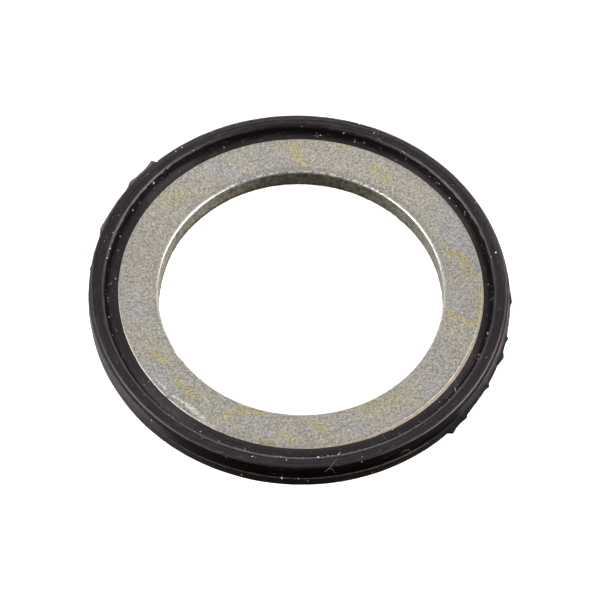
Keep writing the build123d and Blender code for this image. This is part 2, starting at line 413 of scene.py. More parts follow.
def build_washer():
    nc = 720
    phi = np.arange(nc) * 360.0 / nc - 180
    cosp, sinp = np.cos(np.radians(phi)), np.sin(np.radians(phi))
    lw = ledge_width(phi)
    er = edge_radius(phi)
    foot = foot_shift(phi)
    n_top, n_arc, n_wall, n_bot = 34, 8, 8, 14
    cols_r, cols_z, kind = [], [], []

    def put(rr, zz, k):
        cols_r.append(np.broadcast_to(rr, (nc,)).astype(float).copy())
        cols_z.append(np.broadcast_to(zz, (nc,)).astype(float).copy())
        kind.append(k)

    for s in range(n_wall + 1):                      # bore wall, upwards
        t = s / n_wall
        z0, z1 = -(HALF_T - 0.04), HALF_T - er
        put(BORE_R - foot * (1 - t) ** 1.3, z0 + t * (z1 - z0), "wall")
    for s in range(1, n_arc + 1):                    # upper bore edge
        a = s / n_arc * math.pi / 2
        put(BORE_R + er * (1 - math.cos(a)), HALF_T - er * (1 - math.sin(a)), "edge")
    r0 = BORE_R + er
    rim = WASHER_R - lap(phi)
    lw = np.maximum(lw - lap(phi), 0.05)
    r1 = rim - lw
    for s in range(1, n_top + 1):                    # top face
        put(r0 + (r1 - 0.020 - r0) * s / n_top, HALF_T, "top")
    step = 0.024                                     # coined ledge, one small step down
    for dr, dz in ((-0.008, 0.002), (0.006, 0.010), (0.018, 0.018), (0.030, 0.023)):
        put(r1 + dr, HALF_T - dz, "step")
    for t in (0.25, 0.5, 0.75, 0.92):
        put(r1 + 0.030 + (lw - 0.030) * t, HALF_T - step - 0.006 * t, "ledge")
    put(rim - 0.004, HALF_T - 0.034, "ledge")
    put(WASHER_R, 0.60, "out")
    put(WASHER_R, -0.60, "out")
    for dr, dz in ((-0.008, 0.035), (-0.050, 0.024), (-0.090, 0.018), (-0.110, 0.004), (-0.135, 0.0)):
        put(WASHER_R + dr, -(HALF_T - dz), "ledge")
    for s in range(1, n_bot + 1):                    # underside
        put(WASHER_R - 0.135 + (BORE_R + 0.05 - (WASHER_R - 0.135)) * s / n_bot, -HALF_T, "bot")
    for a in (60, 30):                               # lower bore edge, nearly sharp
        q = math.radians(a)
        put(BORE_R - foot + 0.04 * (1 - math.cos(q)), -(HALF_T - 0.04 * (1 - math.sin(q))), "edge")
    R = np.stack(cols_r, 1)
    Z = np.stack(cols_z, 1)
    kind = np.array(kind)
    # slight unevenness of the sheet
    top = kind == "top"
    for seed, width, amp in ((51, 2.2, 0.0016), (52, 1.1, 0.0012)):
        for j in np.where(top)[0]:
            Z[:, j] += noise_track(phi, seed * 1000 + j // 2, width, amp)
    for j in np.where(kind == "wall")[0][2:-1]:
        R[:, j] += noise_track(phi, 6100 + j, 0.8, 0.0022)

    # dents: angle, radius, height, widths along and across, depth
    def dent(pa, rr, zz, wa, wr, depth):
        d = np.hypot((wrap(phi[:, None] - pa)) * math.pi / 180 * R / wa, np.hypot(R - rr, Z - zz) / wr)
        return np.exp(-d * d) * depth

    for pa, rr, zz, wa, wr, depth in (
        (-147.5, 10.27, 0.80, 0.42, 0.20, 0.085),
        (156.6, 10.16, -0.62, 0.10, 0.14, 0.07),
        (50.6, 10.23, -0.50, 0.16, 0.16, 0.035),
        (88.0, 10.38, 0.80, 0.14, 0.09, 0.030),
    ):
        R += dent(pa, rr, zz, wa, wr, depth)
    Z -= dent(-136.2, 12.98, 0.80, 0.07, 0.10, 0.03)
    X = R * cosp[:, None]
    Y = R * sinp[:, None]
    ledge = np.broadcast_to(np.isin(kind, ("ledge", "step"))[None, :], R.shape).astype(float)
    bore = np.broadcast_to((kind == "wall")[None, :], R.shape).astype(float)
    steps = np.zeros(len(kind))
    steps[n_wall + 1:n_wall + 1 + n_arc] = smooth(0.25, 0.65, np.arange(1, n_arc + 1) / n_arc)
    lip = np.broadcast_to(steps[None, :], R.shape)
    return torus_mesh("steel_washer_plated", X, Y, Z, (("ledge", ledge), ("bore_wall", bore), ("bore_edge", lip)))


washer = build_washer()


def outward(ob):
    """Turns the faces outwards if the ring came out inside out."""
    me = ob.data
    me.calc_loop_triangles()
    co = np.zeros(len(me.vertices) * 3, np.float32)
    me.vertices.foreach_get("co", co)
    co = co.reshape(-1, 3).astype(float)
    tri = np.zeros(len(me.loop_triangles) * 3, np.int32)
    me.loop_triangles.foreach_get("vertices", tri)
    t = tri.reshape(-1, 3)
    vol = np.einsum("ij,ij->i", co[t[:, 0]], np.cross(co[t[:, 1]], co[t[:, 2]])).sum() / 6
    if vol < 0:
        me.flip_normals()
        me.update()
    return abs(vol) * 1e9


print("ring volume mm3", outward(ring), "washer volume mm3", outward(washer))
print("triangles", len(ring.data.polygons) * 2, len(washer.data.polygons) * 2)


# ------------------------------------------------------------------ node helpers
class Nodes:
    def __init__(self, name):
        self.mat = bpy.data.materials.new(name)
        self.mat.use_nodes = True
        self.nt = self.mat.node_tree
        self.nt.nodes.clear()

    def node(self, kind, **kw):
        n = self.nt.nodes.new(kind)
        for k, v in kw.items():
            setattr(n, k, v)
        return n

    def link(self, a, b):
        self.nt.links.new(a, b)

    def put(self, sock, v):
        if isinstance(v, (int, float)):
            sock.default_value = v
        elif isinstance(v, (tuple, list)):
            sock.default_value = v
        else:
            self.link(v, sock)

    def math(self, op, a, b=None, c=None, clamp=False):
        n = self.node("ShaderNodeMath", operation=op, use_clamp=clamp)
        self.put(n.inputs[0], a)
        if b is not None:
            self.put(n.inputs[1], b)
        if c is not None:
            self.put(n.inputs[2], c)
        return n.outputs[0]

    def vec(self, op, a, b=None, scale=None):
        n = self.node("ShaderNodeVectorMath", operation=op)
        self.put(n.inputs[0], a)
        if b is not None:
            self.put(n.inputs[1], b)
        if scale is not None:
            self.put(n.inputs["Scale"], scale)
        return n.outputs["Value"] if op in ("LENGTH", "DOT_PRODUCT", "DISTANCE") else n.outputs["Vector"]

    def noise(self, vector, scale, detail=2.0, rough=0.5, distortion=0.0, dims="3D"):
        n = self.node("ShaderNodeTexNoise", noise_dimensions=dims)
        self.link(vector, n.inputs["Vector"])
        n.inputs["Scale"].default_value = scale
        n.inputs["Detail"].default_value = detail
        n.inputs["Roughness"].default_value = rough
        n.inputs["Distortion"].default_value = distortion
        return n

    def ramp(self, fac, stops, mode="LINEAR"):
        n = self.node("ShaderNodeValToRGB")
        n.color_ramp.interpolation = mode
        el = n.color_ramp.elements
        while len(el) > 1:
            el.remove(el[-1])
        el[0].position, el[0].color = stops[0][0], (*stops[0][1], 1)
        for p, c in stops[1:]:
            q = el.new(p)
            q.color = (*c, 1)
        self.link(fac, n.inputs[0])
        return n.outputs["Color"]

    def mix(self, fac, a, b, mode="MIX"):
        n = self.node("ShaderNodeMix", data_type="RGBA", blend_type=mode)
        self.put(n.inputs[0], fac)
        for sock, v in ((n.inputs[6], a), (n.inputs[7], b)):
            if isinstance(v, (tuple, list)):
                sock.default_value = (*v, 1) if len(v) == 3 else v
            else:
                self.link(v, sock)
        return n.outputs[2]

    def maprange(self, v, a, b, c=0.0, d=1.0, smoothstep=True):
        n = self.node("ShaderNodeMapRange", interpolation_type="SMOOTHSTEP" if smoothstep else "LINEAR")
        self.link(v, n.inputs["Value"])
        for k, x in (("From Min", a), ("From Max", b), ("To Min", c), ("To Max", d)):
            n.inputs[k].default_value = x
        return n.outputs["Result"]

    def segment(self, pos, a, b, half, soft):
        """1 on the line from a to b (mm, in the washer's plane), falling to 0 over soft."""
        ax, ay = a
        bx, by = b
        d = (bx - ax, by - ay, 0)
        l2 = d[0] ** 2 + d[1] ** 2
        rel = self.vec("SUBTRACT", pos, (ax, ay, 0))
        t = self.math("DIVIDE", self.vec("DOT_PRODUCT", rel, d), l2, clamp=True)
        near = self.vec("SCALE", d, scale=t)
        dist = self.vec("LENGTH", self.vec("SUBTRACT", rel, near))
        return self.maprange(dist, half, half + soft, 1.0, 0.0)


def flat_position(n):
    """Object coordinates in millimetres, and the same with z set to 0."""
    tc = n.node("ShaderNodeTexCoord")
    p = n.vec("SCALE", tc.outputs["Object"], scale=1000.0)
    flat = n.vec("MULTIPLY", p, (1, 1, 0))
    return p, flat


# ------------------------------------------------------------------ plated steel
def attribute(n, name):
    return n.node("ShaderNodeAttribute", attribute_type="GEOMETRY", attribute_name=name).outputs["Fac"]


def greatest(n, items):
    out = None
    for s in items:
        out = s if out is None else n.math("MAXIMUM", out, s)
    return out


def steel_material():
    n = Nodes("zinc_plating")
    p, flat = flat_position(n)
    out = n.node("ShaderNodeOutputMaterial")
    bsdf = n.node("ShaderNodeBsdfPrincipled")
    n.link(bsdf.outputs[0], out.inputs[0])
    ledge, wall, lip = attribute(n, "ledge"), attribute(n, "bore_wall"), attribute(n, "bore_edge")
    sep = n.node("ShaderNodeSeparateXYZ")
    n.link(p, sep.inputs[0])
    # clouds of passivation: warm and neutral grey
    cloud = n.noise(p, 0.40, 3.0, 0.6, 0.4).outputs["Fac"]
    cloud2 = n.noise(n.vec("ADD", p, (17.0, 5.0, 3.0)), 0.75, 3.0, 0.65, 0.3).outputs["Fac"]
    base = n.ramp(cloud, [(0.30, (0.424, 0.409, 0.390)), (0.43, (0.440, 0.414, 0.364)), (0.58, (0.468, 0.437, 0.370)),
                          (0.74, (0.424, 0.408, 0.378))])
    base = n.mix(n.math("MULTIPLY", n.maprange(cloud2, 0.54, 0.74), 0.45), base, (0.470, 0.428, 0.315))
    warp = n.noise(p, 1.7, 3.0, 0.65)
    wv = n.vec("SCALE", n.vec("SUBTRACT", warp.outputs["Color"], (0.5, 0.5, 0.5)), scale=1.1)
    pos = n.vec("MULTIPLY", n.vec("ADD", p, wv), (1, 1, 0))
    # neutral, slightly cool patches
    cool = greatest(n, [n.math("MULTIPLY", n.segment(pos, a, b, half, soft), k) for a, b, half, soft, k in (
        ((-12.2, -0.5), (-11.5, -2.5), 0.20, 0.80, 0.7),
        ((-10.3, -7.0), (-8.9, -8.2), 0.20, 0.80, 0.8),
        ((-7.1, 10.7), (-4.8, 9.6), 0.25, 0.90, 0.7),
        ((-3.5, -10.9), (-2.2, -11.6), 0.20, 0.70, 0.7),
        ((3.3, -10.9), (4.3, -11.3), 0.20, 0.70, 0.5),
        ((10.4, 6.5), (11.3, 4.5), 0.30, 0.90, 1.0),
        ((7.6, -9.2), (9.2, -7.6), 0.25, 0.90, 0.7),
        ((11.0, -0.2), (11.6, -0.6), 0.20, 0.70, 0.5),
    )])
    base = n.mix(cool, base, (0.440, 0.430, 0.424))
    # stains, placed one by one
    patchy = n.maprange(n.noise(p, 2.9, 3.0, 0.75).outputs["Fac"], 0.38, 0.56, 0.38, 1.0)
    stains = greatest(n, [n.math("MULTIPLY", n.segment(pos, a, b, half, soft), k) for a, b, half, soft, k in (
        ((10.38, 4.02), (11.45, 3.55), 0.05, 0.42, 1.0),
        ((11.45, 3.55), (12.15, 2.10), 0.06, 0.42, 1.0),
        ((-0.9, 12.4), (-0.3, 11.4), 0.12, 0.60, 0.9),
        ((4.95, 10.9), (5.9, 9.95), 0.10, 0.55, 0.6),
        ((2.5, 12.7), (3.05, 12.4), 0.03, 0.35, 0.7),
        ((10.75, -1.3), (12.4, -2.3), 0.08, 0.55, 0.75),
        ((12.80, 0.75), (12.86, -1.54), 0.03, 0.30, 0.9),
        ((-10.5, -5.5), (-9.75, -6.3), 0.08, 0.45, 0.95),
        ((-8.6, -7.95), (-7.7, -8.85), 0.10, 0.50, 0.8),
        ((-5.1, -10.55), (-4.2, -10.08), 0.08, 0.36, 1.0),
        ((-4.2, -10.08), (-2.4, -10.20), 0.08, 0.38, 1.0),
        ((1.0, -10.7), (2.0, -11.6), 0.05, 0.50, 0.6),
        ((-1.1, -11.9), (-0.4, -12.4), 0.05, 0.50, 0.6),
        ((5.0, -9.6), (8.2, -8.3), 0.20, 0.90, 0.4),
        ((-6.2, -10.9), (-6.0, -12.0), 0.02, 0.30, 0.5),
        ((-9.9, 7.4), (-8.6, 8.0), 0.10, 0.80, 0.4),
    )])
    stains = n.math("MULTIPLY", stains, patchy)
    base = n.mix(stains, base, (0.510, 0.435, 0.205))
    orange = n.math("MULTIPLY", n.segment(pos, (-2.6, -12.68), (-1.55, -12.88), 0.04, 0.26), patchy)
    base = n.mix(orange, base, (0.480, 0.350, 0.150))
    # grain of the plating
    g1n = n.noise(p, 6.0, 2.0, 0.7)
    g1 = g1n.outputs["Fac"]
    g2 = n.noise(n.vec("ADD", p, (3.1, 9.2, 1.7)), 11.0, 2.0, 0.8).outputs["Fac"]
    grain = n.math("ADD", n.math("MULTIPLY", g1, 0.60), n.math("MULTIPLY", g2, 0.40))
    bright = n.ramp(grain, [(0.33, (0.42, 0.42, 0.43)), (0.44, (0.79, 0.79, 0.80)), (0.50, (1.00, 1.00, 1.00)), (0.56, (1.22, 1.215, 1.20)),
                            (0.67, (1.68, 1.66, 1.60))])
    base = n.mix(1.0, base, bright, "MULTIPLY")
    tint = n.noise(n.vec("ADD", p, (7.7, 2.2, 5.1)), 7.0, 1.0, 0.6).outputs["Color"]
    base = n.mix(1.0, base, n.vec("ADD", n.vec("SCALE", tint, scale=0.30), (0.85, 0.85, 0.85)), "MULTIPLY")
    # painted shade: the top face a little darker towards the camera, and in a ring just outside the bore's rim,
    # strongest behind it on the far side
    painted_front_shade = n.maprange(n.vec("DOT_PRODUCT", flat, (0.0, 1.0, 0.0)), 3.0, 11.0, 0.865, 0.950)
    base = n.vec("SCALE", base, scale=painted_front_shade)
    radius = n.vec("LENGTH", flat)
    painted_bore_shade = n.math("MULTIPLY", n.maprange(radius, 10.36, 10.46), n.maprange(radius, 10.52, 10.95, 1.0, 0.0))
    painted_bore_shade = n.math("MULTIPLY", painted_bore_shade, n.maprange(n.vec("DOT_PRODUCT", flat, (0.10, 0.95, 0.0)), 3.0, 8.0, 0.06, 0.26))
    base = n.mix(painted_bore_shade, base, (0.10, 0.10, 0.10))
    # painted shade along the outer edge of the top face, on the near side
    rim = n.math("MULTIPLY", n.maprange(radius, 12.62, 12.82), n.maprange(n.vec("DOT_PRODUCT", flat, (0.20, -0.98, 0.0)), 6.0, 9.5))
    base = n.mix(n.math("MULTIPLY", rim, 0.13), base, (0.08, 0.075, 0.07))
    # tan on the coined ledge; olive bore wall with painted light on its far left side; worn bore lip with painted
    # glints
    side = n.maprange(n.vec("DOT_PRODUCT", flat, (0.0645, -0.0403, 0)), 0.30, 0.92)
    tan = n.mix(0.45, (0.520, 0.440, 0.345), n.mix(1.0, bright, (0.520, 0.440, 0.345), "MULTIPLY"))
    base = n.mix(n.math("MULTIPLY", ledge, n.math("ADD", n.math("MULTIPLY", side, 0.50), 0.22)), base, tan)
    streak = n.noise(n.vec("MULTIPLY", p, (1, 1, 0.18)), 4.5, 3.0, 0.7).outputs["Fac"]
    # painted light: the bore wall is lighter on its far left side, where the side light falls on it
    lit = n.maprange(n.vec("DOT_PRODUCT", flat, (-0.866, 0.5, 0)), 6.5, 10.0)
    wall_colour_and_light = n.mix(lit, (0.318, 0.294, 0.228), (0.520, 0.486, 0.395))
    wall_colour_and_light = n.mix(n.maprange(sep.outputs["Z"], -0.35, -0.55), wall_colour_and_light, (0.250, 0.232, 0.165))
    wall_colour_and_light = n.mix(1.0, wall_colour_and_light, n.ramp(streak, [(0.34, (0.84, 0.84, 0.83)), (0.50, (1.0, 1.0, 1.0)), (0.66, (1.15, 1.14, 1.12))]), "MULTIPLY")
    mottle = n.noise(p, 2.2, 4.0, 0.75).outputs["Fac"]
    wall_colour_and_light = n.mix(1.0, wall_colour_and_light, n.ramp(mottle, [(0.36, (0.58, 0.56, 0.48)), (0.50, (1.0, 0.99, 0.97)), (0.64, (1.42, 1.38, 1.34))]), "MULTIPLY")
    wall_colour_and_light = n.mix(1.0, wall_colour_and_light, n.ramp(grain, [(0.36, (0.60, 0.60, 0.60)), (0.50, (1.0, 1.0, 1.0)), (0.64, (1.45, 1.45, 1.45))]), "MULTIPLY")
    base = n.mix(wall, base, wall_colour_and_light)
    # worn, brighter bore lip with painted glints broken along it, and painted shade between them on the far side
    painted_glint = n.maprange(n.noise(p, 4.6, 2.0, 0.8).outputs["Fac"], 0.42, 0.58)
    far = n.maprange(n.vec("DOT_PRODUCT", flat, (0.0, 1.0, 0.0)), 6.8, 9.0)
    painted_glint = n.math("ADD", n.math("MULTIPLY", painted_glint, far), n.math("MULTIPLY", n.maprange(g2, 0.40, 0.56, 0.20, 0.85), n.math("SUBTRACT", 1.0, far)))
    base = n.mix(n.math("MULTIPLY", lip, painted_glint), n.mix(n.math("MULTIPLY", lip, far), base, (0.24, 0.23, 0.21)), (0.72, 0.70, 0.67))
    # scratches
    spos = n.vec("MULTIPLY", n.vec("ADD", p, n.vec("SCALE", wv, scale=0.09)), (1, 1, 0))
    scratch = greatest(n, [n.math("MULTIPLY", n.segment(spos, a, b, half, soft), k) for a, b, half, soft, k in (
        ((-10.22, -7.66), (-9.38, -8.52), 0.022, 0.055, 1.0),
        ((-8.86, -9.06), (-7.90, -9.70), 0.030, 0.12, 0.80),
        ((-7.90, -9.70), (-6.55, -10.95), 0.050, 0.22, 0.85),
        ((-6.9, -10.9), (-5.9, -11.45), 0.030, 0.16, 0.6),
        ((-6.75, -8.90), (-6.15, -9.75), 0.010, 0.05, 0.5),
    )])
    scratch = n.math("MULTIPLY", scratch, n.maprange(g1, 0.38, 0.54, 0.25, 1.0))
    base = n.mix(n.math("MULTIPLY", scratch, 0.85), base, (0.85, 0.83, 0.80))
    dark = greatest(n, [n.math("MULTIPLY", n.segment(flat, a, b, half, soft), k) for a, b, half, soft, k in (
        ((-12.45, 0.42), (-11.65, 0.45), 0.006, 0.045, 0.7),
        ((-9.33, -9.10), (-9.20, -9.22), 0.015, 0.06, 0.95),
        ((-11.9, 2.1), (-11.5, 2.05), 0.006, 0.04, 0.4),
        ((8.60, -7.90), (9.05, -7.90), 0.006, 0.04, 0.5),
    )])
    base = n.mix(dark, base, (0.07, 0.065, 0.05))
    n.link(base, bsdf.inputs["Base Color"])
    bsdf.inputs["Metallic"].default_value = 0.75
    rough = n.math("ADD", n.math("MULTIPLY", grain, 0.34), 0.28)
    rough = n.math("SUBTRACT", rough, n.math("MULTIPLY", lip, 0.12))
    rough = n.math("SUBTRACT", rough, n.math("MULTIPLY", scratch, 0.12), clamp=True)
    n.link(rough, bsdf.inputs["Roughness"])
    bump = n.node("ShaderNodeBump")
    bump.inputs["Strength"].default_value = 0.6
    bump.inputs["Distance"].default_value = 0.014 * MM
    n.link(grain, bump.inputs["Height"])
    bump2 = n.node("ShaderNodeBump")
    bump2.inputs["Strength"].default_value = 0.5
    bump2.inputs["Distance"].default_value = 0.02 * MM
    n.link(n.math("SUBTRACT", 1.0, n.math("MAXIMUM", scratch, dark)), bump2.inputs["Height"])
    n.link(bump.outputs[0], bump2.inputs["Normal"])
    n.link(bump2.outputs[0], bsdf.inputs["Normal"])
    return n.mat


# ------------------------------------------------------------------ moulded rubber
def rubber_material():
    n = Nodes("black_rubber")
    p, flat = flat_position(n)
    out = n.node("ShaderNodeOutputMaterial")
    bsdf = n.node("ShaderNodeBsdfPrincipled")
    n.link(bsdf.outputs[0], out.inputs[0])
    rel = n.vec("SUBTRACT", flat, (OFF_X, OFF_Y, 0))
    radius = n.vec("LENGTH", rel)
    sep = n.node("ShaderNodeSeparateXYZ")
    n.link(p, sep.inputs[0])
    height = sep.outputs["Z"]
    patch = n.noise(p, 0.9, 3.0, 0.6).outputs["Fac"]
    mid = n.noise(p, 3.2, 3.0, 0.6).outputs["Fac"]
    base = n.ramp(patch, [(0.35, (0.0010, 0.0007, 0.0008)), (0.65, (0.0018, 0.0013, 0.0013))])
    # brown cast of the lower half, and of the side wall where the flash was torn off
    outer = n.maprange(radius, 14.98, 15.06)
    fleck = n.maprange(n.noise(p, 6.0, 3.0, 0.75).outputs["Fac"], 0.38, 0.60, 0.45, 1.5)
    # painted light: the outer zone of the bead's top is lighter towards the far side
    bead_top_painted_light = n.math("MULTIPLY", n.maprange(radius, 14.48, 14.72), n.maprange(height, 0.90, 1.00))
    bead_top_painted_light = n.math("MULTIPLY", bead_top_painted_light, n.maprange(n.vec("DOT_PRODUCT", flat, (0.0172, 0.0643, 0.0)), 0.12, 0.55))
    bead_top_painted_light_colour = n.vec("SCALE", n.mix(1.0, (0.0185, 0.0160, 0.0165), (1, 1, 1), "MULTIPLY"), scale=fleck)
    base = n.mix(bead_top_painted_light, base, bead_top_painted_light_colour)
    # the torn lip on the left: lighter grey on its upper face
    lip = n.math("MULTIPLY", n.maprange(radius, 14.93, 15.03), n.maprange(height, 1.00, 1.06))
    lip = n.math("MULTIPLY", lip, n.maprange(n.vec("DOT_PRODUCT", flat, (-0.883, 0.469, 0.0)), 13.6, 14.1))
    base = n.mix(lip, base, n.vec("SCALE", n.mix(1.0, (0.080, 0.070, 0.068), (1, 1, 1), "MULTIPLY"), scale=fleck))
    low = n.math("MULTIPLY", n.maprange(height, -0.05, -0.30), outer)
    base = n.mix(n.math("MULTIPLY", low, 0.8), base, (0.024, 0.0155, 0.0105))
    torn = n.math("MULTIPLY", n.maprange(n.vec("DOT_PRODUCT", flat, (0.970, -0.242, 0)), 14.45, 14.75), outer)
    base = n.mix(n.math("MULTIPLY", torn, 0.85), base, (0.0180, 0.0110, 0.0070))
    # painted highlight: lighter brown-grey along the parting ridge
    ridge = n.math("MULTIPLY", n.maprange(n.math("ABSOLUTE", height), 0.07, 0.11, 1.0, 0.0), n.maprange(radius, 15.06, 15.11))
    ridge = n.math("MULTIPLY", ridge, n.maprange(mid, 0.36, 0.56, 0.35, 1.0))
    base = n.mix(n.math("MULTIPLY", ridge, 0.85), base, (0.088, 0.069, 0.056))
    # thin tan line along the step of the side wall, and a tan spot
    step = n.math("MULTIPLY", n.maprange(radius, 15.035, 15.055), n.math("MULTIPLY", n.maprange(height, 0.73, 0.76), n.maprange(height, 0.81, 0.85, 1.0, 0.0)))
    line = n.segment(flat, (14.93, 1.00), (14.82, -2.45), 0.12, 0.12)
    line = n.math("MAXIMUM", line, n.math("MULTIPLY", n.segment(flat, (14.71, -2.45), (14.10, -4.90), 0.10, 0.15), 0.55))
    line = n.math("MULTIPLY", n.math("MULTIPLY", line, step), n.maprange(mid, 0.38, 0.55, 0.35, 1.0))
    base = n.mix(line, base, (0.120, 0.072, 0.050))
    spot = n.math("MULTIPLY", n.segment(flat, (14.56, -3.48), (14.40, -4.28), 0.06, 0.16), n.maprange(radius, 15.06, 15.09))
    spot = n.math("MULTIPLY", spot, n.maprange(n.noise(p, 6.5, 2.0, 0.7).outputs["Fac"], 0.40, 0.52))
    spot = n.math("MULTIPLY", spot, n.maprange(height, 0.20, 0.45))
    base = n.mix(spot, base, (0.260, 0.130, 0.040))
    # fine pale speckle of the moulded skin
    speck = n.maprange(n.noise(n.vec("ADD", p, (4.4, 1.9, 8.3)), 6.0, 3.0, 0.8).outputs["Fac"], 0.56, 0.68)
    skin = n.math("MAXIMUM", n.maprange(height, 0.86, 1.02), n.maprange(radius, 13.76, 13.82, 1.0, 0.0))
    base = n.mix(n.math("MULTIPLY", n.math("MULTIPLY", speck, skin), 0.10), base, (0.062, 0.053, 0.054))
    # mould machining lines round the ring, broken up along their length
    along = n.vec("ADD", n.vec("SCALE", (0.0, 1.0, 0.0), scale=n.vec("DOT_PRODUCT", flat, (0.14, 0.0, 0.0))),
                  n.vec("SCALE", (0.0, 0.0, 1.0), scale=n.vec("DOT_PRODUCT", flat, (0.0, 0.14, 0.0))))
    along = n.vec("ADD", n.vec("SCALE", (1.0, 0.0, 0.0), scale=radius), along)
    drawn = n.maprange(n.noise(along, 5.0, 3.0, 0.8).outputs["Fac"], 0.55, 0.64)
    base = n.mix(n.math("MULTIPLY", n.math("MULTIPLY", drawn, skin), n.maprange(mid, 0.36, 0.60, 0.10, 0.60)), base, (0.036, 0.032, 0.032))
    # painted highlights on the land, at four places round the ring where the side lights catch it
    land = n.math("MULTIPLY", n.maprange(radius, 13.15, 13.40, 0.5, 1.0), n.maprange(radius, 13.74, 13.80, 1.0, 0.0))
    painted_land_highlight = greatest(n, [n.math("MULTIPLY", n.segment(flat, a, b, half, soft), k) for a, b, half, soft, k in (
        ((-9.0, -9.9), (-9.9, -9.0), 0.6, 2.4, 0.85),
        ((12.1, -5.8), (11.2, -7.4), 0.6, 2.2, 0.50),
        ((11.9, 6.1), (7.4, 11.2), 0.5, 1.8, 0.52),
        ((-9.2, 9.8), (-10.4, 8.4), 0.6, 2.2, 0.75),
    )])
    base = n.mix(n.math("MULTIPLY", n.math("MULTIPLY", painted_land_highlight, land), n.maprange(mid, 0.36, 0.60, 0.6, 1.0)), base, (0.034, 0.029, 0.029))
    # painted light: lighter grey side wall, left and right of the near side, where the side lights fall on it
    painted_flank_light = n.math("MAXIMUM", n.maprange(n.vec("DOT_PRODUCT", flat, (-0.866, -0.5, 0.0)), 13.4, 14.5),
                   n.maprange(n.vec("DOT_PRODUCT", flat, (0.9135, -0.4067, 0.0)), 14.25, 14.65))
    painted_flank_light = n.math("MULTIPLY", painted_flank_light, n.math("MULTIPLY", n.maprange(radius, 15.03, 15.09), n.maprange(height, 0.10, 0.16)))
    base = n.mix(n.math("MULTIPLY", painted_flank_light, 0.80), base, n.vec("SCALE", n.mix(1.0, (0.046, 0.045, 0.040), (1, 1, 1), "MULTIPLY"), scale=fleck))
    # dust film: very fine pale grains
    dust = n.noise(p, 17.0, 2.0, 0.9).outputs["Fac"]
    film = n.noise(p, 1.3, 3.0, 0.6).outputs["Fac"]
    grains = n.math("MULTIPLY", n.maprange(dust, 0.66, 0.74), n.maprange(film, 0.35, 0.65))
    base = n.mix(n.math("MULTIPLY", grains, 0.45), base, (0.24, 0.20, 0.17))
    n.link(base, bsdf.inputs["Base Color"])
    fine = n.noise(p, 9.0, 3.0, 0.75).outputs["Fac"]
    rough = n.math("ADD", n.math("MULTIPLY", mid, 0.10), 0.26)
    rough = n.math("ADD", rough, n.math("MULTIPLY", fine, 0.06))
    rough = n.math("ADD", rough, n.math("MULTIPLY", grains, 0.3))
    rough = n.math("ADD", rough, n.math("MULTIPLY", n.math("MAXIMUM", torn, n.math("MAXIMUM", line, spot)), 0.30))
    n.link(rough, bsdf.inputs["Roughness"])
    bsdf.inputs["IOR"].default_value = 1.50
    bsdf.inputs["Specular Tint"].default_value = (1.0, 0.85, 0.93, 1.0)
    # mould machining lines round the ring, and fine grain
    lines = n.noise(n.vec("SCALE", (1.0, 0.0, 0.0), scale=radius), 13.0, 2.0, 0.8).outputs["Fac"]
    lines2 = n.noise(n.vec("SCALE", (0.0, 1.0, 0.0), scale=height), 13.0, 2.0, 0.8).outputs["Fac"]
    on_side = n.maprange(radius, 14.95, 15.02)
    pick = n.math("ADD", n.math("MULTIPLY", lines, n.math("SUBTRACT", 1.0, on_side)), n.math("MULTIPLY", lines2, on_side))
    ribs = n.noise(along, 4.0, 2.0, 0.6).outputs["Fac"]
    pick = n.math("ADD", n.math("MULTIPLY", pick, 0.28), n.math("MULTIPLY", ribs, 0.30))
    h = n.math("ADD", pick, n.math("MULTIPLY", fine, 0.60))
    bump = n.node("ShaderNodeBump")
    bump.inputs["Strength"].default_value = 1.0
    bump.inputs["Distance"].default_value = 0.042 * MM
    n.link(h, bump.inputs["Height"])
    n.link(bump.outputs[0], bsdf.inputs["Normal"])
    return n.mat


def torn_material():
    """Torn flash: dull, dark brown, with the grain of a torn face."""
    n = Nodes("torn_rubber")
    p, flat = flat_position(n)
    out = n.node("ShaderNodeOutputMaterial")
    bsdf = n.node("ShaderNodeBsdfPrincipled")
    n.link(bsdf.outputs[0], out.inputs[0])
    patch = n.noise(p, 2.6, 4.0, 0.7).outputs["Fac"]
    base = n.ramp(patch, [(0.36, (0.0014, 0.0010, 0.0008)), (0.52, (0.0110, 0.0080, 0.0064)), (0.66, (0.0520, 0.0400, 0.0330))])
    base = n.mix(n.segment(flat, (10.7, -11.5), (11.75, -10.0), 0.30, 0.45), base, (0.0020, 0.0012, 0.0008))
    n.link(base, bsdf.inputs["Base Color"])
    grain = n.noise(p, 8.0, 3.0, 0.75).outputs["Fac"]
    n.link(n.math("ADD", n.math("MULTIPLY", grain, 0.2), 0.58), bsdf.inputs["Roughness"])
    bsdf.inputs["IOR"].default_value = 1.24
    bump = n.node("ShaderNodeBump")
    bump.inputs["Strength"].default_value = 1.0
    bump.inputs["Distance"].default_value = 0.04 * MM
    n.link(grain, bump.inputs["Height"])
    n.link(bump.outputs[0], bsdf.inputs["Normal"])
    return n.mat


washer.data.materials.append(steel_material())
ring.data.materials.append(rubber_material())
ring.data.materials.append(torn_material())
ring.data.polygons.foreach_set("material_index", ring_index.reshape(-1).tolist())

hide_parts("steel_washer")
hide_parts("rubber_ring")
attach(washer, "root")
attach(ring, "root")

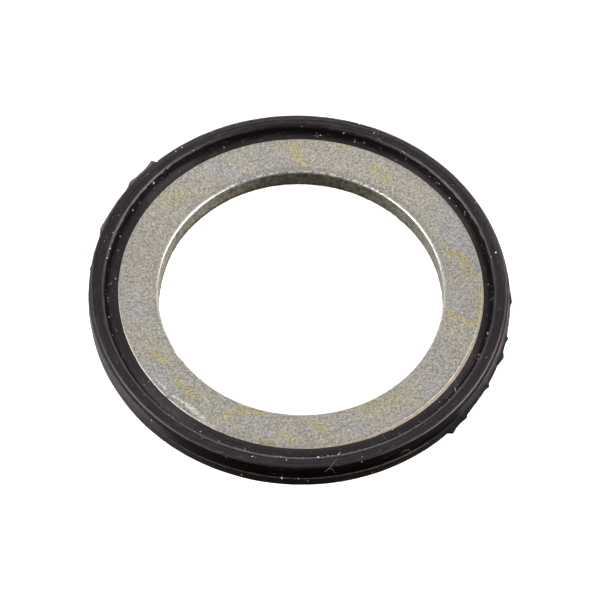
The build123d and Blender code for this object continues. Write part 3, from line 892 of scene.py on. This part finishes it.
# ------------------------------------------------------------------ dust, grit and lint, as the photograph shows them
# frame position (px), size (mm), kind: 0 pale, 1 tan, 2 reddish
GRIT = [
    (175.9, 151.2, .057, 0), (181.9, 147.5, .052, 0), (193.4, 150.6, .027, 0), (224.0, 147.5, .030, 0), (153.5, 182.8, .092, 0),
    (161.7, 178.1, .033, 0), (139.5, 202.9, .052, 1), (132.8, 210.3, .077, 0), (120.2, 236.7, .064, 1), (110.0, 248.5, .053, 0),
    (107.0, 258.2, .054, 0), (115.6, 278.9, .065, 2), (118.5, 215.2, .022, 0), (147.7, 174.4, .021, 0), (108.9, 317.2, .053, 0),
    (112.7, 335.4, .049, 0), (148.9, 381.7, .034, 0), (200.5, 431.8, .039, 0), (218.9, 441.2, .034, 0), (252.2, 456.6, .049, 0),
    (245.3, 465.3, .019, 0), (241.6, 474.5, .057, 0), (194.8, 424.3, .021, 0), (144.1, 384.7, .051, 2), (286.3, 460.1, .036, 0),
    (275.0, 473.9, .020, 0), (281.9, 478.1, .086, 0), (318.4, 457.5, .092, 0), (327.8, 455.5, .036, 0), (336.7, 465.2, .024, 0),
    (298.5, 478.5, .039, 0), (307.7, 480.8, .034, 0), (361.9, 461.7, .031, 0), (384.9, 438.0, .028, 0), (385.8, 457.8, .019, 0),
    (392.7, 429.6, .046, 0), (380.0, 450.3, .018, 0), (456.4, 205.9, .040, 1), (464.8, 212.3, .055, 0), (464.8, 214.7, .039, 0),
    (495.8, 252.6, .063, 0), (488.1, 284.5, .054, 0), (491.5, 292.3, .029, 0), (493.6, 298.2, .050, 0), (488.1, 333.3, .092, 1),
    (478.8, 355.0, .069, 1), (475.8, 355.5, .030, 1), (480.6, 357.6, .025, 1), (477.4, 358.8, .042, 0), (447.0, 398.1, .031, 0),
    (439.6, 402.0, .034, 0), (491.2, 256.8, .027, 0), (483.8, 248.4, .023, 0), (482.0, 245.6, .033, 0), (343.6, 133.0, .059, 0),
    (354.8, 141.4, .052, 0), (373.9, 133.0, .045, 0), (359.3, 124.1, .035, 0), (378.4, 138.4, .026, 0), (380.6, 140.0, .018, 0),
    (375.9, 140.4, .020, 0), (383.0, 137.2, .018, 0), (402.5, 151.4, .032, 0), (404.4, 152.9, .028, 0), (400.8, 153.0, .031, 0),
    (406.1, 158.6, .059, 0), (439.5, 183.9, .055, 0), (449.5, 198.6, .092, 2), (456.1, 206.3, .033, 0), (475.7, 202.7, .035, 0),
    (315.0, 135.7, .027, 0), (317.6, 136.6, .025, 0), (320.3, 135.2, .034, 0), (246.0, 486.3, .034, 0), (282.3, 496.2, .056, 0),
    (243.6, 491.0, .031, 0), (226.0, 457.0, .030, 0), (333.5, 497.0, .031, 0), (389.0, 484.5, .034, 0), (401.3, 478.4, .031, 1),
    (363.8, 487.0, .028, 0), (300.4, 487.2, .030, 0), (259.7, 481.5, .028, 0), (352.6, 478.8, .032, 0), (372.4, 472.2, .032, 0),
]
SLIVERS = [   # two ends in the frame (px), width (mm), kind
    (151.4, 418.6, 152.4, 422.0, .040, 0), (336.2, 455.0, 340.4, 454.0, .030, 0), (454.9, 390.4, 456.8, 393.0, .026, 2),
    (243.0, 163.0, 244.4, 163.9, .020, 0),
]
FIBRES = [[(325.0, 471.8), (329.0, 468.6), (333.4, 463.4), (336.7, 459.2)], [(330.1, 467.8), (333.2, 470.0), (335.1, 473.2)],
          [(400.7, 453.5), (404.6, 450.6), (408.8, 449.5), (411.0, 452.3)]]
CREVICE = 210                      # tiny grains in the groove and along the near crest


def tree_of(*objects):
    co, tri = [], []
    for ob in objects:
        me = ob.data
        me.calc_loop_triangles()
        v = np.zeros(len(me.vertices) * 3, np.float32)
        me.vertices.foreach_get("co", v)
        t = np.zeros(len(me.loop_triangles) * 3, np.int32)
        me.loop_triangles.foreach_get("vertices", t)
        tri.append(t.reshape(-1, 3) + sum(len(c) for c in co))
        co.append(v.reshape(-1, 3))
    return BVHTree.FromPolygons(np.vstack(co).tolist(), np.vstack(tri).tolist())


surface = tree_of(ring, washer)


def grain_shape():
    t = (1 + math.sqrt(5)) / 2
    v = np.array([(-1, t, 0), (1, t, 0), (-1, -t, 0), (1, -t, 0), (0, -1, t), (0, 1, t), (0, -1, -t), (0, 1, -t),
                  (t, 0, -1), (t, 0, 1), (-t, 0, -1), (-t, 0, 1)], float)
    v /= np.linalg.norm(v[0])
    f = [(0, 11, 5), (0, 5, 1), (0, 1, 7), (0, 7, 10), (0, 10, 11), (1, 5, 9), (5, 11, 4), (11, 10, 2), (10, 7, 6), (7, 1, 8),
         (3, 9, 4), (3, 4, 2), (3, 2, 6), (3, 6, 8), (3, 8, 9), (4, 9, 5), (2, 4, 11), (6, 2, 10), (8, 6, 7), (9, 8, 1)]
    return v, f


def frame_at(normal, along=None):
    nz = Vector(normal).normalized()
    a = Vector(along) if along is not None else Vector((0.3, 0.7, 0.2))
    nx = (a - nz * a.dot(nz)).normalized()
    return np.array([nx, nz.cross(nx), nz])


def build_grit():
    shape, tris = grain_shape()
    verts, faces, kinds = [], [], []

    def add(centre, axes, size, kind):
        v = shape * (1 + rng.uniform(-0.28, 0.28, (12, 1))) * size
        v = v @ axes + np.array(centre) / MM
        k = len(verts)
        verts.extend((v * MM).tolist())
        faces.extend([tuple(i + k for i in f) for f in tris])
        kinds.extend([kind] * 20)

    def stand(px, py):
        o, d = ray_of(px, py)
        hit, normal, _, _ = surface.ray_cast(o, d)
        return hit, normal

    for px, py, size, kind in GRIT:
        hit, normal = stand(px, py)
        if hit is None:
            continue
        add(hit + normal * size * 0.30 * MM, frame_at(normal, rng.normal(size=3)), np.array([1.15, 0.95, 0.75]) * size, kind)
    for x0, y0, x1, y1, size, kind in SLIVERS:
        (h0, n0), (h1, n1) = stand(x0, y0), stand(x1, y1)
        if h0 is None or h1 is None:
            continue
        mid, normal = (h0 + h1) / 2, (n0 + n1).normalized()
        half = (h1 - h0).length / 2 / MM
        add(mid + normal * size * 0.4 * MM, frame_at(normal, h1 - h0), np.array([half, size, size * 0.8]), kind)
    # grains lying in the groove, on the land beside it and on the bead, thinly
    made = 0
    while made < CREVICE:
        pick = rng.uniform()
        ang = rng.uniform(0, 360)
        rad = rng.normal(13.80, 0.07) if pick < 0.35 else rng.uniform(13.35, 14.80)
        if pick > 0.72:
            ang, rad = rng.uniform(225, 322), rng.normal(14.06, 0.07)
        made += 1
        start = Vector((rad * math.cos(math.radians(ang)) + OFF_X, rad * math.sin(math.radians(ang)) + OFF_Y, 3.0)) * MM
        hit, normal, _, _ = surface.ray_cast(start, Vector((0, 0, -1)))
        if hit is None or normal.z < 0.3:
            continue
        size = float(rng.uniform(0.016, 0.034))
        add(hit + normal * size * 0.30 * MM, frame_at(normal, rng.normal(size=3)), np.array([1.1, 0.9, 0.7]) * size, int(rng.uniform() < 0.25))
    me = bpy.data.meshes.new("dust_and_grit")
    me.from_pydata(verts, [], faces)
    me.update()
    ob = bpy.data.objects.new("dust_and_grit", me)
    scene.collection.objects.link(ob)
    return ob, kinds


def build_fibres():
    verts, faces = [], []
    for path in FIBRES:
        px = np.array(path)
        s_ = np.concatenate([[0], np.cumsum(np.linalg.norm(np.diff(px, axis=0), axis=1))])
        t = np.linspace(0, s_[-1], 22)
        xy = np.stack([np.interp(t, s_, px[:, 0]), np.interp(t, s_, px[:, 1])], 1)
        for _ in range(2):
            xy[1:-1] = (xy[:-2] + 2 * xy[1:-1] + xy[2:]) / 4
        tops = []
        for x, y in xy:
            o, d = ray_of(x, y)
            hit, normal, _, _ = surface.ray_cast(o, d)
            tops.append(hit.z / MM)
        tops = np.array(tops)
        lift = np.array([tops[max(0, i - 3):i + 4].max() for i in range(len(tops))])
        lift = np.convolve(np.pad(lift, 3, mode="edge"), np.ones(7) / 7, mode="valid") + 0.022
        lift = np.maximum(lift, tops + 0.015)
        pts = [np.array([*on_plane(x, y, z), z]) for (x, y), z in zip(xy, lift)]
        k = len(verts)
        for i, p in enumerate(pts):
            tan = pts[min(i + 1, len(pts) - 1)] - pts[max(i - 1, 0)]
            ax = frame_at(tan, (0, 0, 1))
            thick = 0.012 * (0.75 + 0.25 * math.sin(i * 1.3))
            for j in range(6):
                q = 2 * math.pi * j / 6
                verts.append(((p + thick * (math.cos(q) * ax[0] + math.sin(q) * ax[1])) * MM).tolist())
        for i in range(len(pts) - 1):
            for j in range(6):
                a, b = k + i * 6 + j, k + i * 6 + (j + 1) % 6
                faces.append((a, b, b + 6, a + 6))
        faces.append(tuple(k + j for j in range(5, -1, -1)))
        faces.append(tuple(k + (len(pts) - 1) * 6 + j for j in range(6)))
    me = bpy.data.meshes.new("lint_fibres")
    me.from_pydata(verts, [], faces)
    me.update()
    ob = bpy.data.objects.new("lint_fibres", me)
    scene.collection.objects.link(ob)
    return ob


def dusty_material(name, dark, light):
    n = Nodes(name)
    p, flat = flat_position(n)
    out = n.node("ShaderNodeOutputMaterial")
    bsdf = n.node("ShaderNodeBsdfPrincipled")
    n.link(bsdf.outputs[0], out.inputs[0])
    n.link(n.ramp(n.noise(p, 12.0, 2.0, 0.7).outputs["Fac"], [(0.38, dark), (0.62, light)]), bsdf.inputs["Base Color"])
    bsdf.inputs["Roughness"].default_value = 0.7
    return n.mat


grit, grit_kinds = build_grit()
grit.data.materials.append(dusty_material("pale_dust", (0.30, 0.26, 0.22), (0.85, 0.80, 0.74)))
grit.data.materials.append(dusty_material("tan_dust", (0.22, 0.14, 0.07), (0.58, 0.42, 0.24)))
grit.data.materials.append(dusty_material("red_dust", (0.34, 0.16, 0.12), (0.62, 0.38, 0.32)))
grit.data.polygons.foreach_set("material_index", grit_kinds)
fibres = build_fibres()
fibres.data.materials.append(dusty_material("lint", (0.11, 0.10, 0.10), (0.30, 0.28, 0.27)))
for ob in (grit, fibres):
    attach(ob, "root")


# ------------------------------------------------------------------ studio
def emission(name, colour, strength):
    m = bpy.data.materials.new(name)
    m.use_nodes = True
    nt = m.node_tree
    nt.nodes.clear()
    o = nt.nodes.new("ShaderNodeOutputMaterial")
    em = nt.nodes.new("ShaderNodeEmission")
    em.inputs[0].default_value = (*colour, 1)
    em.inputs[1].default_value = strength
    nt.links.new(em.outputs[0], o.inputs[0])
    return m


def floor_material():
    m = bpy.data.materials.new("pale_floor")
    m.use_nodes = True
    b = m.node_tree.nodes["Principled BSDF"]
    b.inputs["Base Color"].default_value = (0.85, 0.85, 0.85, 1)
    b.inputs["Roughness"].default_value = 0.9
    b.inputs["Specular IOR Level"].default_value = 0.1
    b.inputs["Emission Color"].default_value = (1, 1, 1, 1)
    b.inputs["Emission Strength"].default_value = 0.80
    return m


FLOOR_Z = cad_lo.z
me = bpy.data.meshes.new("floor")
S = 4.0
me.from_pydata([(-S, -S, FLOOR_Z), (S, -S, FLOOR_Z), (S, S, FLOOR_Z), (-S, S, FLOOR_Z)], [], [(0, 1, 2, 3)])
floor = bpy.data.objects.new("floor", me)
scene.collection.objects.link(floor)
me.materials.append(floor_material())
floor.visible_diffuse = False
floor.visible_glossy = False
floor.visible_shadow = False

# pale backdrop all round, seen by the camera only
verts, faces = [], []
n_a, n_h = 48, 12
for j in range(n_h + 1):
    el = math.radians(-8 + 98 * j / n_h)
    for i in range(n_a):
        az = 2 * math.pi * i / n_a
        verts.append((6 * math.cos(el) * math.cos(az), 6 * math.cos(el) * math.sin(az), 6 * math.sin(el)))
for j in range(n_h):
    for i in range(n_a):
        faces.append((j * n_a + i, j * n_a + (i + 1) % n_a, (j + 1) * n_a + (i + 1) % n_a, (j + 1) * n_a + i))
me = bpy.data.meshes.new("backdrop")
me.from_pydata(verts, [], faces)
backdrop = bpy.data.objects.new("backdrop", me)
scene.collection.objects.link(backdrop)
me.materials.append(emission("pale_backdrop", (1, 1, 1), 1.0))
for flag in ("visible_diffuse", "visible_glossy", "visible_shadow", "visible_transmission"):
    setattr(backdrop, flag, False)


# soft light: a round glow for each (elevation, azimuth, strength), about 17 degrees across
GLOWS = [
    (-60, 90, 0.93), (-60, 150, 0.16), (-42, 90, 0.83), (-42, 126, 0.54), (-42, 162, 0.56),
    (-42, -162, 0.25), (-24, 90, 4.71), (-24, -167, 0.55), (-24, -13, 0.13), (-24, 13, 0.39),
    (-8, 90, 4.12), (-8, 110, 1.39), (-8, 130, 0.94), (-8, 70, 1.24), (8, 90, 2.72),
    (8, 110, 0.49), (8, 130, 1.87), (8, 150, 0.33), (8, 10, 1.00), (8, 30, 0.14),
    (8, 50, 3.10), (8, 70, 0.29), (24, 90, 0.76), (24, 112, 0.34), (26, -174, 6.20),
    (24, -158, 0.39), (23, -4, 12.80), (40, -166, 8.80), (40, -90, 0.31), (40, -13, 3.20),
    (57, 90, 0.28), (57, 10, 0.20), (74, 90, 0.82),
    (60, -178, 0.45), (24, -22, 1.20),
]
SHARPNESS = 24.0
FILL = 0.001


def studio_world():
    w = bpy.data.worlds.new("studio")
    w.use_nodes = True
    nt = w.node_tree
    nt.nodes.clear()
    out = nt.nodes.new("ShaderNodeOutputWorld")
    bg = nt.nodes.new("ShaderNodeBackground")
    tc = nt.nodes.new("ShaderNodeTexCoord")
    total = None
    for el, az, strength in GLOWS:
        e_, a_ = math.radians(el), math.radians(az)
        dot = nt.nodes.new("ShaderNodeVectorMath")
        dot.operation = "DOT_PRODUCT"
        dot.inputs[1].default_value = (math.cos(e_) * math.cos(a_), math.cos(e_) * math.sin(a_), math.sin(e_))
        nt.links.new(tc.outputs["Generated"], dot.inputs[0])
        fall = nt.nodes.new("ShaderNodeMath")
        fall.operation = "MULTIPLY_ADD"
        fall.inputs[1].default_value = SHARPNESS
        fall.inputs[2].default_value = -SHARPNESS
        nt.links.new(dot.outputs["Value"], fall.inputs[0])
        ex = nt.nodes.new("ShaderNodeMath")
        ex.operation = "EXPONENT"
        nt.links.new(fall.outputs[0], ex.inputs[0])
        add = nt.nodes.new("ShaderNodeMath")
        add.operation = "MULTIPLY_ADD"
        add.inputs[1].default_value = strength
        nt.links.new(ex.outputs[0], add.inputs[0])
        if total is None:
            add.inputs[2].default_value = FILL
        else:
            nt.links.new(total, add.inputs[2])
        total = add.outputs[0]
    bg.inputs["Color"].default_value = (1, 1, 1, 1)
    nt.links.new(total, bg.inputs["Strength"])
    nt.links.new(bg.outputs[0], out.inputs[0])
    scene.world = w


studio_world()

scene.view_settings.view_transform = "Standard"
scene.view_settings.look = "None"
scene.view_settings.exposure = 0.0
scene.view_settings.gamma = 1.0
